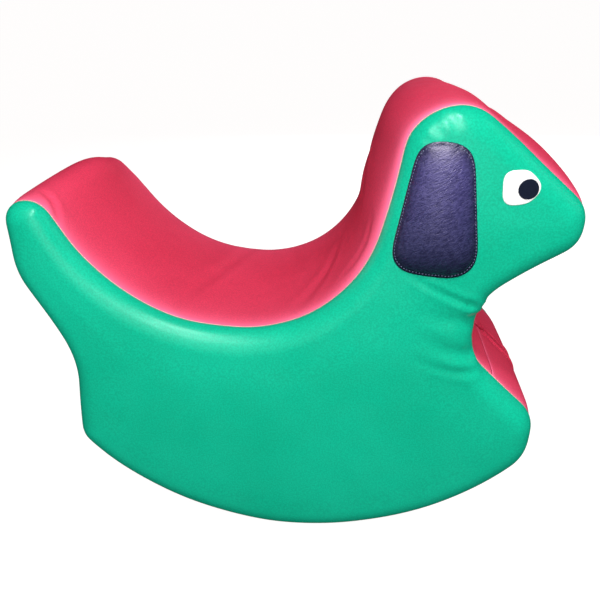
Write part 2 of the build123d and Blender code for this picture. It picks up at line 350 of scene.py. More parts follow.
core_loop = even_loop(section_loop("core_slab_right", SLAB_CUT), COLUMNS, 1.4)
outline = core_loop + CORE_GAP * outward(core_loop)
out_way = smooth_ring(outward(outline), 1.0)
out_way /= np.hypot(*out_way.T)[:, None]
perimeter = np.sum(np.hypot(*(np.roll(outline, -1, axis=0) - outline).T))
STEP = perimeter / COLUMNS
print("outline", round(perimeter), "mm round, step", round(STEP, 2), "mm")

# %% [markdown]
# ## How full the cover is
# Foam pushes the cover out between its seams and the seams hold it in. The rules are a list of
# places on the outline with a value at each, in mm, blended round the ring: how far the strip
# swells at its middle, how far the seam has crept onto the side, and how round the edge is.

# %% Set fullness, seam creep and edge rounding round the outline
def nearest_column(x, z):
    return int(np.argmin(np.hypot(outline[:, 0] - x, outline[:, 1] - z)))


def ring_values(stops, reach=5):
    """A value for every column from (x, z, value) stops on the outline."""
    spots = sorted((nearest_column(x, z), value) for x, z, value in stops)
    columns = [c for c, _ in spots]
    values = [v for _, v in spots]
    return smooth_ring(np.interp(np.arange(COLUMNS), columns, values, period=COLUMNS), reach)


swell = ring_values([(14, 0, 0), (150, 28, 0), (289, 150, 1), (255, 215, 2), (207, 300, -4),
                     (260, 372, 2), (311, 420, 7), (280, 470, 13), (230, 518, 4), (190, 535, 1),
                     (160, 548, 4), (128, 515, 15), (110, 450, 19), (88, 392, 12), (30, 330, 1),
                     (-60, 308, -1), (-150, 335, 1), (-225, 400, 2), (-280, 476, 3), (-310, 420, 2),
                     (-275, 290, 2), (-283, 190, 2), (-160, 45, 0)])
push = ring_values([(14, 0, 0), (289, 150, 0), (250, 220, 3), (202, 269, 7), (207, 300, 7),
                    (228, 350, 3), (260, 372, 0), (305, 410, 3), (311, 440, 4), (280, 480, 4),
                    (230, 518, 4), (190, 533, 2), (155, 547, 0), (128, 520, 4), (110, 450, 1),
                    (60, 350, 0), (-60, 308, 0), (-200, 370, 0), (-258, 466, 1), (-280, 476, 2),
                    (-304, 465, -2), (-312, 420, -4), (-300, 370, -2), (-280, 320, -3), (-275, 285, -1),
                    (-283, 190, 0)])
hand = np.random.default_rng(7)
CUT_WANDER = 0.9
cut_wander = smooth_ring(hand.normal(size=COLUMNS), 9)
outline = outline + out_way * (push + CUT_WANDER * cut_wander / np.abs(cut_wander).max())[:, None]
creep_right = ring_values([(14, 0, 2), (289, 150, 2), (250, 220, 3), (207, 300, 4), (260, 372, 2),
                           (311, 420, 2), (280, 470, 2), (230, 518, 1), (185, 546, 2), (150, 544, 9),
                           (128, 500, 12), (110, 450, 13), (95, 405, 12), (70, 365, 8), (20, 326, 4),
                           (-60, 308, 2), (-150, 335, 2), (-225, 400, 2), (-262, 466, 3),
                           (-300, 460, 2), (-310, 420, 1), (-275, 290, 1), (-285, 170, 1)])
creep_left = creep_right + ring_values([(14, 0, 0), (289, 150, 0), (207, 300, 0), (300, 440, 2),
                                        (230, 518, 6), (160, 548, 8), (110, 450, 2), (60, 350, 8),
                                        (-60, 308, 12), (-225, 400, 13), (-262, 466, 20),
                                        (-280, 476, 14), (-310, 420, 2), (-283, 190, 0)])
edge_round = ring_values([(14, 0, 37), (150, 28, 37), (285, 160, 30), (207, 300, 26), (305, 425, 26),
                          (150, 540, 27), (95, 405, 28), (-60, 308, 29), (-220, 395, 27),
                          (-262, 460, 22), (-280, 476, 21), (-300, 462, 22), (-308, 400, 26),
                          (-275, 290, 28), (-283, 170, 30), (-150, 40, 36)], reach=8)
edge_drop = ring_values([(14, 0, 5), (200, 60, 5), (289, 150, 3), (250, 220, 1.5), (207, 300, 0.5),
                         (260, 372, 1.5), (311, 420, 1.5), (280, 470, 1), (230, 518, 0.8),
                         (150, 544, 1.2), (110, 450, 2), (60, 350, 3), (-60, 308, 3.2),
                         (-225, 400, 3.2), (-262, 466, 1.6), (-280, 476, 1.2), (-310, 420, 2),
                         (-283, 190, 3), (-150, 40, 5)])
# Strength of the painted highlight beside the strip's seams, 0 to 1, round the outline
stretch = ring_values([(14, 0, 0.3), (289, 150, 0.5), (250, 220, 0.6), (207, 300, 0.5), (311, 420, 0.6),
                       (230, 518, 0.7), (150, 544, 0.9), (110, 450, 1.0), (60, 350, 0.75),
                       (-60, 308, 0.7), (-225, 400, 0.75), (-280, 476, 0.6), (-310, 420, 0.4),
                       (-283, 190, 0.3)])
EDGE_DROP_REACH = 26.0
SEAM_NIP = 1.6
SEAM_NIP_REACH = 2.4
PANEL_FULLNESS = 3.6
PANEL_FULLNESS_REACH = 95.0
SEAM_WOBBLE = 1.3
wobble = smooth_ring(hand.normal(size=COLUMNS), 6)
wobble *= 1.0 / np.abs(wobble).max()
creep_right = creep_right + SEAM_WOBBLE * wobble
creep_left = creep_left + SEAM_WOBBLE * np.roll(wobble, 211)
flat_half = HALF - edge_round
seam_at = {-1: flat_half + creep_right, 1: flat_half + creep_left}
turn_end = flat_half + edge_round * math.pi / 2
print("right seam at", round(seam_at[-1].min(), 1), "to", round(seam_at[-1].max(), 1), "mm from the middle")

# %% [markdown]
# ## Creases
# Vinyl can't stretch both ways, so where the outline turns sharply the cover gathers: folds fan
# out from the throat, the tail tip and the crown are dimpled, and a sat-on seat keeps long slack
# folds. Each fold is a short path in space with a depth and a width. The skin sinks along the
# path and rises a little on both sides, as a real fold does.

# %% Describe the creases and how they move the skin
SIDE = -HALF - 3
side_creases = [
    ([(211, SIDE + 20, 338), (197, SIDE, 345), (184, SIDE, 351), (158, SIDE, 365), (132, SIDE, 381)],
     4.4, 3.8, "out"),
    ([(206, SIDE + 10, 320), (174, SIDE, 327), (140, SIDE, 340)], 1.9, 8.0, "out"),
    ([(208, SIDE + 10, 277), (176, SIDE, 288), (145, SIDE, 307)], 2.2, 7.5, "out"),
    ([(212, SIDE + 5, 256), (188, SIDE, 259), (165, SIDE, 266), (140, SIDE, 279)], 1.8, 5.0, "out"),
    ([(-250, SIDE, 463), (-247, SIDE + 6, 455)], 3.0, 6.5, "both"),
    ([(-262, SIDE + 4, 473), (-262, SIDE + 2, 462)], 1.4, 4.0, "both"),
    ([(136, SIDE + 8, 541), (149, SIDE, 533), (160, SIDE, 526)], 3.4, 4.2, "both"),
    ([(139, SIDE, 524), (152, SIDE, 519)], 1.6, 4.0, "both"),
    ([(168, SIDE + 8, 543), (178, SIDE, 532)], 1.8, 4.5, "both"),
    ([(131, SIDE, 519), (143, SIDE, 524)], 1.3, 4.0, "both"),
]
strip_creases = [
    ([(-85, 112, 311), (-105, 37, 316), (-120, -20, 320), (-130, -64, 324), (-133, -100, 326)],
     2.4, 8.0, "both"),
    ([(58, -3, 352), (48, -41, 343), (33, -68, 332), (13, -101, 322)], 1.6, 9.0, "both"),
    ([(100, -108, 430), (96, -112, 404), (84, -110, 381), (66, -104, 360)], 1.4, 5.0, "both"),
    ([(-275, -96, 477), (-264, -105, 470), (-254, -112, 458), (-247, -120, 444)], 3.2, 4.5, "both"),
    ([(-20, 110, 312), (-10, 60, 312), (8, 10, 316)], 1.0, 9.0, "both"),
    ([(118, 60, 470), (112, 10, 452), (104, -30, 430)], 1.6, 11.0, "both"),
    ([(230, -60, 519), (222, 0, 524), (232, 70, 517)], 1.5, 9.0, "both"),
]


def crease_lift(points, creases):
    """Height change in mm at each point from a list of (path, depth, width, fade) creases."""
    lift = np.zeros(len(points))
    for path, depth, width, fade in creases:
        path = np.array(path, float)
        runs = np.linalg.norm(np.diff(path, axis=0), axis=1)
        nearest = np.full(len(points), 1e9)
        share = np.zeros(len(points))
        done = 0.0
        for a, b, run in zip(path[:-1], path[1:], runs):
            k = np.clip((points - a) @ (b - a) / run ** 2, 0, 1)
            gap = np.linalg.norm(points - (a + k[:, None] * (b - a)), axis=1)
            closer = gap < nearest
            nearest = np.where(closer, gap, nearest)
            share = np.where(closer, (done + k * run) / runs.sum(), share)
            done += run
        strength = np.cos(share * math.pi / 2) if fade == "out" else np.sin(np.pi * (0.12 + 0.76 * share))
        valley = np.exp(-(nearest / width) ** 2)
        ridges = np.exp(-((nearest - 1.9 * width) / (0.9 * width)) ** 2)
        lift += depth * strength * (0.45 * ridges - valley)
    return lift


print("creases", len(side_creases), "on each side,", len(strip_creases), "on the strip")

# %% [markdown]
# ## The skin as one rule
# A point on the cover is named by its column on the outline and its distance from the middle,
# measured over the surface: flat across the strip, round the edge, then onto the side. One
# function turns that name into a place in space and a direction to swell in, so the red strip and
# the green panel meet at the seam with no gap.

# %% Turn (column, distance from the middle) into a place on the cover
def skin_place(column, across):
    """Place and outward direction in mm for arrays of columns and signed distances."""
    away = np.abs(across)
    side = np.where(across < 0, -1.0, 1.0)
    bend = np.clip((away - flat_half[column]) / edge_round[column], 0, math.pi / 2)
    drop = edge_round[column] * (1 - np.cos(bend))
    y = side * (np.minimum(away, flat_half[column]) + edge_round[column] * np.sin(bend))
    place = np.column_stack([outline[column, 0] - out_way[column, 0] * drop, y,
                             outline[column, 1] - out_way[column, 1] * drop])
    way = np.column_stack([out_way[column, 0] * np.cos(bend), side * np.sin(bend),
                           out_way[column, 1] * np.cos(bend)])
    return place, way


def seam_lift(column, past_seam):
    """The nip at the seam and the fall of the skin towards it, by distance from the seam."""
    past_seam = np.abs(past_seam)
    fall = edge_drop[column] * np.clip(1 - past_seam / EDGE_DROP_REACH, 0, 1) ** 2
    return -fall - SEAM_NIP * np.exp(-past_seam / SEAM_NIP_REACH)


def ease(value):
    """Smooth step from 0 to 1."""
    value = np.clip(value, 0, 1)
    return value * value * (3 - 2 * value)


def on_floor(place):
    """Nothing soft goes below the floor: the sole flattens where it rests."""
    place[:, 2] = np.maximum(place[:, 2], 0.0)
    return place


# Where the left side of the cover is drawn in: a centre, its reach each way, and a depth
DRAWN_IN = [((-264, 142, 470), (58, 60, 46), 17.0), ((215, 105, 532), (48, 75, 34), 8.0),
            ((-60, 140, 312), (190, 26, 60), 2.5)]


def drawn_in(place):
    """How far the skin is drawn in at each point, in mm."""
    depth = np.zeros(len(place))
    for centre, reach, most in DRAWN_IN:
        depth += most * np.exp(-(((place - np.array(centre)) / np.array(reach)) ** 2).sum(axis=1))
    return depth


def seam_of(column, across):
    """Distance of the seam from the middle, on the side that each point is on."""
    return np.where(across < 0, seam_at[-1][column], seam_at[1][column])


def seam_highlight_share(column, across):
    """Painted highlight on the strip: strongest right at the seams, where the edge turns over, fading
    inwards.
    """
    past_seam = seam_of(column, across) - np.abs(across)
    return stretch[column] * (0.72 * np.exp(-past_seam / 7.0) + 0.28 * np.exp(-past_seam / 32.0))


def strip_lift(column, across, place):
    """Swelling of the red strip: full in the middle, held in at the seams, creased by use."""
    seam = seam_of(column, across)
    share = np.clip(np.abs(across) / seam, 0, 1)
    lift = swell[column] * (1 - share ** 2) + seam_lift(column, seam - np.abs(across))
    return lift + crease_lift(place, strip_creases) - drawn_in(place)


print("a point on the seat", skin_place(np.array([nearest_column(-60, 308)]), np.array([0.0]))[0].round(1))

# %% [markdown]
# ## Making meshes
# All of the soft pieces are rings or nets of points set by a rule, so a small helper makes a mesh
# from points and faces, shades it smooth, tucks a thin wall behind it and fixes it to the rocker.
# The wall is the vinyl's own thickness, so the piece is closed and not a paper-thin sheet.

# %% Mesh helpers
SKIN = 1.2 * MM
SIDES = ((-1, "right"), (1, "left"))


def make_piece(name, points, faces, material, wall=0.0):
    """A smooth mesh piece in metres from points in mm, riding on the rocker."""
    mesh = bpy.data.meshes.new(name)
    mesh.from_pydata((np.asarray(points) * MM).tolist(), [], faces)
    mesh.validate()
    mesh.polygons.foreach_set("use_smooth", [True] * len(mesh.polygons))
    mesh.materials.append(material)
    piece = new_object(name, mesh)
    if wall:
        thick = piece.modifiers.new("wall", "SOLIDIFY")
        thick.thickness = wall
        thick.offset = -1
    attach(piece, "rocker")
    return piece


def face_out(piece):
    """Turn all faces of a closed piece outwards."""
    shell = bmesh.new()
    shell.from_mesh(piece.data)
    bmesh.ops.recalc_face_normals(shell, faces=shell.faces)
    shell.to_mesh(piece.data)
    shell.free()
    return piece


def grid_faces(columns, rows, closed=False, flip=False):
    """Quads over a grid stored column by column."""
    faces = []
    for i in range(columns if closed else columns - 1):
        j = (i + 1) % columns
        for k in range(rows - 1):
            quad = (i * rows + k, j * rows + k, j * rows + k + 1, i * rows + k + 1)
            faces.append(quad[::-1] if flip else quad)
    return faces


def tube_points(path, radius, sides):
    """Round tube about a closed path in mm, as points stored ring by ring."""
    ahead = np.roll(path, -1, axis=0) - np.roll(path, 1, axis=0)
    ahead /= np.linalg.norm(ahead, axis=1)[:, None]
    across = np.cross(ahead, (0, 1, 0))
    across /= np.linalg.norm(across, axis=1)[:, None]
    up = np.cross(across, ahead)
    turn = np.linspace(0, 2 * math.pi, sides, endpoint=False)
    ring = across[:, None] * np.cos(turn)[None, :, None] + up[:, None] * np.sin(turn)[None, :, None]
    return (path[:, None] + radius * ring).reshape(-1, 3)


print("wall", SKIN / MM, "mm")

# %% [markdown]
# ## The red strip over the back
# One long strip starts at the chest, passes the throat, nose, crown, neck, seat and tail, and
# ends at the rump. Rows of points crowd together near the seams, where the surface turns fastest.

# %% Sew the strip over the back
def end_column(node, side):
    """Column where a sole strip ends, on the chest (side 1) or the rump (side -1)."""
    points = np.array([v.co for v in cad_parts[node].data.vertices]) / MM
    points = points[points[:, 0] * side > 0]
    top = points[np.argmax(points[:, 2])]
    return nearest_column(top[0], top[2])


chest_column = end_column("lower_gusset_right", 1)
rump_column = end_column("lower_gusset_right", -1)
from_seam = np.array([0, .5, 1.1, 1.9, 3, 4.4, 6.2, 8.6, 11.6, 15, 19, 23, 27.5, 32, 37, 42, 47.5, 53, 58.5,
                      64, 70, 76, 82, 88, 94.5, 101, 107.5, 114, 120])
HALF_STRIP = 124.0
half_shares = 1 - from_seam / HALF_STRIP
strip_shares = np.r_[-half_shares, 0.0, half_shares[::-1]]
strip_columns = np.arange(chest_column, rump_column + 1)
column = np.repeat(strip_columns, len(strip_shares))
across = np.tile(strip_shares, len(strip_columns))
across = across * seam_of(column, across)
place, way = skin_place(column, across)
lift = strip_lift(column, across, place)
strip_faces = grid_faces(len(strip_columns), len(strip_shares), flip=True)
upper_strip = make_piece("cover_upper_strip", on_floor(place + way * lift[:, None]), strip_faces,
                         red_vinyl, SKIN)
# The strip carries its painted highlight beside the seams
mark(upper_strip, "painted_highlight", seam_highlight_share(column, across))
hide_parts("upper_gusset")
print("upper strip", len(upper_strip.data.polygons), "faces from column", chest_column, "to", rump_column)

# %% [markdown]
# ## The sole strips and the placket
# Under the sole the strip is in two halves, each folded back on itself beside the zip. The folds
# make a raised double lip that hides the tape and keeps grit off the teeth. The lip stands proud
# on the chest and is pressed flat where the toy rests on the floor.

# %% Sew the two sole strips with their folded lips
LIP_RISE = 3.0
LIP_START = 9.0
LIP_END = 4.0
FLAT_BELOW = 14.0
SOLE_SEAM = 123.5
SOLE_FLAT = 92.0
ZIP_HALF = 5
ZIP_EASE = 20
# How strong the painted highlight along each lip's folded end is, and how far it reaches
FOLD_HIGHLIGHT = 0.55
FOLD_REACH = 2.5
LIP_ROWS = [(7.5, -3.6), (5.9, -3.2), (5.3, -2.0), (5.2, -0.8), (5.3, 0.5), (5.7, 0.85), (6.5, 1.0),
            (8.0, 1.0), (10.0, 1.0), (12.0, 0.97), (12.9, 0.85), (13.5, 0.45), (13.9, 0.1), (14.6, 0.0)]
sole_columns = np.arange(rump_column, COLUMNS + chest_column + 1) % COLUMNS
to_end = np.minimum(np.arange(len(sole_columns)), np.arange(len(sole_columns))[::-1]) * STEP
flat_rows = np.r_[17, 21, 26, 32, 38, 44, 50, 57, 64, 71, 78, 85, SOLE_FLAT]
seam_rows = SOLE_SEAM - from_seam[12::-1]
shifted_share = ease((seam_rows - SOLE_FLAT) / (SOLE_SEAM - SOLE_FLAT))
sole_rows = len(LIP_ROWS) + len(flat_rows) + len(seam_rows)


def lip_rise(place):
    """How proud the lip stands at a place on the sole: nearly flat at its ends and on the floor."""
    height = outline[sole_columns[place], 1]
    return LIP_RISE * ease((to_end[place] - LIP_START) / LIP_END) * min(1.0, height / FLAT_BELOW) + 0.1


def sole_strip(name, side):
    """One sole strip: the lip's fold, the lip, then the flat run out to the seam."""
    across_out, lifts = [], []
    for i, col in enumerate(sole_columns):
        rise = lip_rise(i)
        for away, share in LIP_ROWS:
            across_out.append(away)
            lifts.append(share if share < 0 else share * rise)
        shift = seam_at[side][col] - SOLE_SEAM
        across_out += [*flat_rows, *(seam_rows + shift * shifted_share)]
        lifts += [0.0] * (sole_rows - len(LIP_ROWS))
    columns_out = np.repeat(sole_columns, sole_rows)
    across_out = np.array(across_out) * side
    place, way = skin_place(columns_out, across_out)
    lift = strip_lift(columns_out, across_out, place) * ease((np.abs(across_out) - ZIP_HALF) / ZIP_EASE)
    lift = lift + np.array(lifts)
    piece = make_piece(name, on_floor(place + way * lift[:, None]),
                       grid_faces(len(sole_columns), sole_rows, flip=side > 0), red_vinyl, SKIN)
    # Painted highlight: beside the seams, and along the lip's folded end
    fold_end_highlight = FOLD_HIGHLIGHT * np.exp(-np.repeat(to_end, sole_rows) / FOLD_REACH)
    mark(piece, "painted_highlight", seam_highlight_share(columns_out, across_out) + fold_end_highlight)
    return piece


sole_right = sole_strip("cover_sole_right", -1)
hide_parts("lower_gusset_right")
sole_left = sole_strip("cover_sole_left", 1)
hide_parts("lower_gusset_left")
print("sole strips", len(sole_right.data.polygons), "faces each")

# %% [markdown]
# ## The green side panels
# Rings of points follow the seam round the edge's turn. The flat part inside the last ring is
# filled with an even triangle net, so a fold can run in any direction across it. The left panel
# is the right one mirrored, with shallower folds, because no two sides wear alike.

# %% Cut and fill the side panels
NET = 4.2
NET_ROW = 0.866
NET_RIM = 0.55
turn_shares = np.r_[0, .012, .028, .05, .08, .12, .17, .23, .30, .38, .46, .55, .64, .73, .82, .91, 1.0]


def inside_loop(points, loop):
    """Which points lie inside a closed loop."""
    inside = np.zeros(len(points), bool)
    for (x0, z0), (x1, z1) in zip(loop, np.roll(loop, -1, axis=0)):
        crosses = (points[:, 1] < z0) != (points[:, 1] < z1)
        if abs(z1 - z0) > 1e-9:
            inside ^= crosses & (points[:, 0] < x0 + (points[:, 1] - z0) * (x1 - x0) / (z1 - z0))
    return inside


def loop_gap(points, loop):
    """Distance from each point to the nearest loop point."""
    gap = np.empty(len(points))
    for start in range(0, len(points), 2000):
        part = points[start:start + 2000]
        gap[start:start + 2000] = np.sqrt(((part[:, None] - loop[None]) ** 2).sum(2).min(1))
    return gap


def fill_net(loop, spacing):
    """Even triangle net inside a loop: its points (the loop's first) and faces."""
    low, high = loop.min(axis=0), loop.max(axis=0)
    grid = np.array([(x + (spacing / 2 if r % 2 else 0), z)
                     for r, z in enumerate(np.arange(low[1], high[1], spacing * NET_ROW))
                     for x in np.arange(low[0], high[0], spacing)])
    grid = grid[inside_loop(grid, loop)]
    grid = grid[loop_gap(grid, loop) > NET_RIM * spacing]
    points = np.vstack([loop, grid])
    made = delaunay_2d_cdt([Vector(p) for p in points], [], [list(range(len(loop)))], 1, 1e-6)
    return points, [[made[3][v][0] for v in face] for face in made[2]]


inner_loop = outline - out_way * edge_round[:, None]
flat_points, flat_faces = fill_net(inner_loop, NET)
net = flat_points[COLUMNS:]
net_gap = loop_gap(net, inner_loop)
print("panel net", len(net), "points,", len(flat_faces), "triangles")


def side_panel(name, side, crease_share):
    """One green panel: rings round the turn, then the flat net."""
    column = np.repeat(np.arange(COLUMNS), len(turn_shares))
    shares = np.tile(turn_shares, COLUMNS)
    run = (turn_end - seam_at[side])[column]
    past = shares * run
    place, way = skin_place(column, side * (seam_at[side][column] + past))
    nearest = np.array([nearest_column(x, z) for x, z in net])
    flat = np.column_stack([net[:, 0], np.full(len(net), side * HALF), net[:, 1]])
    points = np.vstack([place, flat])
    ways = np.vstack([way, np.tile((0.0, side, 0.0), (len(net), 1))])
    past = np.r_[past, (turn_end - seam_at[side])[nearest] + net_gap]
    lift = seam_lift(np.r_[column, nearest], past) + PANEL_FULLNESS * ease(past / PANEL_FULLNESS_REACH)
    lift -= drawn_in(points)
    right_points = points * np.array([1, -side, 1])
    lift += crease_share * crease_lift(right_points, side_creases)
    rows = len(turn_shares)
    faces = grid_faces(COLUMNS, rows, closed=True, flip=side > 0)
    last = [c * rows + rows - 1 for c in range(COLUMNS)]
    number = last + list(range(COLUMNS * rows, COLUMNS * rows + len(net)))
    for face in flat_faces:
        turned = [number[v] for v in face]
        faces.append(turned if side < 0 else turned[::-1])
    piece = make_piece(name, on_floor(points + ways * lift[:, None]), faces,
                       green_vinyl, SKIN)
    return piece


panel_right = side_panel("cover_panel_right", -1, 1.0)
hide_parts("side_panel_right")
panel_left = side_panel("cover_panel_left", 1, 0.6)
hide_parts("side_panel_left")
print("panels", len(panel_right.data.polygons), "faces each")

# %% [markdown]
# ## Backing in the seams
# The pieces are sewn face to face and turned, so the fabric's pale knitted backing shows as a
# hair-thin line at the bottom of the seam. It is a slim bead laid in the nip.

# %% Lay the seam line
BEAD = 0.7
BEAD_SIDES = 6
BEAD_LIFT = 0.45
BEAD_FLOOR = 0.6
for side, word in SIDES:
    seam_place, seam_way = skin_place(np.arange(COLUMNS), side * seam_at[side])
    seam_path = seam_place + seam_way * (BEAD_LIFT - edge_drop - SEAM_NIP - drawn_in(seam_place))[:, None]
    seam_path[:, 2] = np.maximum(seam_path[:, 2], BEAD_FLOOR)
    face_out(make_piece("seam_line_" + word, tube_points(seam_path, BEAD, BEAD_SIDES),
                        ring_faces(COLUMNS, BEAD_SIDES, closed=True), seam_backing))
print("seam lines done")

# %% [markdown]
# ## The foam inside
# Three slabs of pale foam are cut to the outline and glued side by side. The cover hides them,
# but they are what holds it full, so they are cut here too, a little inside the skin, with the
# outer slabs' edges trimmed round to match the cover's turn.

# %% Cut the foam slabs
FOAM_GAP = 9.0
FOAM_TRIM = 20.0
SLAB_EDGE = 50.0
GLUE = 0.1

foam, foam_shader = new_material("foam")
pores = span(foam, noise(foam, 900.0, 2.0), 0.0, 1.0, 0.35, 0.65)
dress(foam_shader, Base_Color=two_tone(foam, pores, (0.62, 0.52, 0.30), (0.80, 0.72, 0.50)),
      Normal=bump(foam, pores, 0.0004, 0.8), Roughness=0.95)

foam_columns = np.arange(0, COLUMNS, 3)


def foam_slab(name, node, inner, outer, trim):
    """A slab between two y planes; trim rounds its outer edge."""
    rows = [(inner, 0.0)]
    for a in np.linspace(0, math.pi / 2, 5 if trim else 1):
        back = math.copysign(trim * (1 - math.sin(a)), outer - inner)
        rows.append((outer - back, trim * (1 - math.cos(a))))
    points, count = [], len(foam_columns)
    for y, inset in rows:
        loop = (outline - out_way * (FOAM_GAP + inset))[foam_columns]
        ring = np.column_stack([loop[:, 0], np.full(count, y), loop[:, 1]])
        depth = drawn_in(ring)
        ring[:, [0, 2]] -= out_way[foam_columns] * depth[:, None]
        if trim:
            ring[:, 1] -= math.copysign(1.0, outer) * depth
        points.append(ring)
    faces = ring_faces(len(rows), count)
    faces += [tuple(range(count))[::-1], tuple(range((len(rows) - 1) * count, len(rows) * count))]
    piece = face_out(make_piece(name, np.vstack(points), faces, foam))
    piece.data.polygons.foreach_set("use_smooth", [False] * len(piece.data.polygons))
    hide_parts(node)
    return piece


foam_slab("foam_right", "core_slab_right", -SLAB_EDGE - GLUE, -HALF + FOAM_GAP, FOAM_TRIM)
foam_slab("foam_middle", "core_slab_middle", GLUE - SLAB_EDGE, SLAB_EDGE - GLUE, 0)
foam_slab("foam_left", "core_slab_left", SLAB_EDGE + GLUE, HALF - FOAM_GAP, FOAM_TRIM)
print("foam slabs cut", FOAM_GAP, "mm inside the skin")

# %% [markdown]
# ## Laying patches on the curved side
# Ears and eyes are cut flat and sewn on the panel, so they take up its curve. A ray shot straight
# at the panel from the side finds the cover's height under any (x, z), and that is all a patch
# needs to lie on it.

# %% Find the panel's height under a patch
panel_points = np.array([v.co for v in panel_right.data.vertices]) / MM
panel_tree = BVHTree.FromPolygons([Vector(p) for p in panel_points],
                                  [tuple(f.vertices) for f in panel_right.data.polygons])


def panel_height(x, z):
    """How far the right panel stands from the middle at (x, z), in mm."""
    hit = panel_tree.ray_cast(Vector((x, -400.0, z)), Vector((0, 1, 0)))
    return -hit[0].y if hit[0] else HALF


def node_outline(node, count, reach):
    """The node's outer line seen from the side, evened out, in mm."""
    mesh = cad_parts[node].data
    flat = [(v.co.x / MM, v.co.z / MM) for v in mesh.vertices]
    hull = np.array([flat[k] for k in convex_hull_2d([Vector(p) for p in flat])])
    return even_loop(hull, count, reach)


# How far a patch's back lies behind its rim, inside the panel's wall
TUCKED_IN = 1.4


def patch(name, loop, rings, height, material, side):
    """A piece laid on the panel: rings of shares from the edge (0) to the centre (1), each with a height."""
    centre = loop.mean(axis=0)
    count = len(loop)
    points = []
    for share in rings:
        ring = loop + (centre - loop) * share
        for k, (x, z) in enumerate(ring):
            points.append((x, -panel_height(x, z) - height(share, x, z), z))
    tip = len(points)
    points.append((centre[0], -panel_height(*centre) - height(1.0, *centre), centre[1]))
    points = np.array(points)
    faces = ring_faces(len(rings), count)
    last = (len(rings) - 1) * count
    faces += [(last + k, tip, last + (k + 1) % count) for k in range(count)]
    back = points[:count] + np.array([0, TUCKED_IN, 0])
    base = len(points)
    points = np.vstack([points, back])
    faces += [(base + k, k, (k + 1) % count, base + (k + 1) % count) for k in range(count)]
    faces.append(tuple(base + k for k in range(count)))
    if side > 0:
        points = points * np.array([1, -1, 1])
    return face_out(make_piece(name, points, faces, material))


print("panel height at the eye", round(panel_height(248, 469), 1), "mm")

# %% [markdown]
# ## Ears
# A flap of navy leather-look vinyl over a thin wad, machined down all round and full in the
# middle. A cloth simulation finds the form: a flat sheet held at its rim is blown up by air. The
# heights it reaches are then laid over the curved panel. Its embossing is coarser than the
# cover's: long shallow creases that run slantwise. The gloss has a violet cast. Light from above
# is painted in: the top is much paler than the foot, and the rim is painted darkest, as shade.

# %% Make the leather-look ears and their wadding
EAR_EDGE = 1.3
EAR_DOME = 10.5
EAR_GROWN = 1.015
# Painted shade at the ear's rim: how dark, and how far in it reaches
RIM_SHADE = 0.85
RIM_REACH = 0.17
EAR_ROWS = [0, .02, .04, .06, .08, .105, .135, .17, .21, .26, .32, .39, .47, .56, .66, .77, .88, .95]
navy_vinyl, navy_shader = new_material("navy_vinyl")
slant = (0, math.radians(-28), 0)
long_creases = noise(navy_vinyl, 660.0, 3.0, stretch=(0.24, 1, 1), turn=slant, warp=0.35)
raised = span(navy_vinyl, long_creases, 0.0, 1.0, 0.37, 0.63)
ear_low, ear_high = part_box("ear_right")
# Painted light from above: the colour runs from a shaded dark foot to a lit pale top, by height
own_height = add_node(navy_vinyl, "ShaderNodeSeparateXYZ", Vector=own_place(navy_vinyl))
up_share = span(navy_vinyl, own_height.outputs["Z"], 0.0, 1.0, ear_low.z, ear_high.z)
shaded_foot_tone = two_tone(navy_vinyl, raised, (0.005, 0.010, 0.028), (0.014, 0.024, 0.056))
lit_top_tone = two_tone(navy_vinyl, raised, (0.046, 0.040, 0.150), (0.098, 0.086, 0.260))
painted_top_light = two_tone(navy_vinyl, up_share, shaded_foot_tone, lit_top_tone)
ear_pebble = bump(navy_vinyl, grain_cells(navy_vinyl, 620.0), 0.00016, 0.7)
creased = bump(navy_vinyl, long_creases, 0.0008, 0.7, ear_pebble)
# The rim is painted darkest, as shade where the dome turns away
dress(navy_shader,
      Base_Color=two_tone(navy_vinyl, marked(navy_vinyl, "rim"), painted_top_light, (0.003, 0.005, 0.016)),
      Normal=creased, Coat_Normal=creased, Roughness=span(navy_vinyl, long_creases, 0.38, 0.48),
      Specular_IOR_Level=1.0, Specular_Tint=(0.90, 0.80, 1.0),
      Coat_Weight=0.8, Coat_Roughness=0.44, Coat_IOR=1.75, Coat_Tint=(0.86, 0.80, 1.0))

ear_loop = node_outline("ear_right", 220, 5.0)
ear_loop = ear_loop.mean(axis=0) + (ear_loop - ear_loop.mean(axis=0)) * EAR_GROWN


# The simulation's last frame
BLOWN_BY = 20


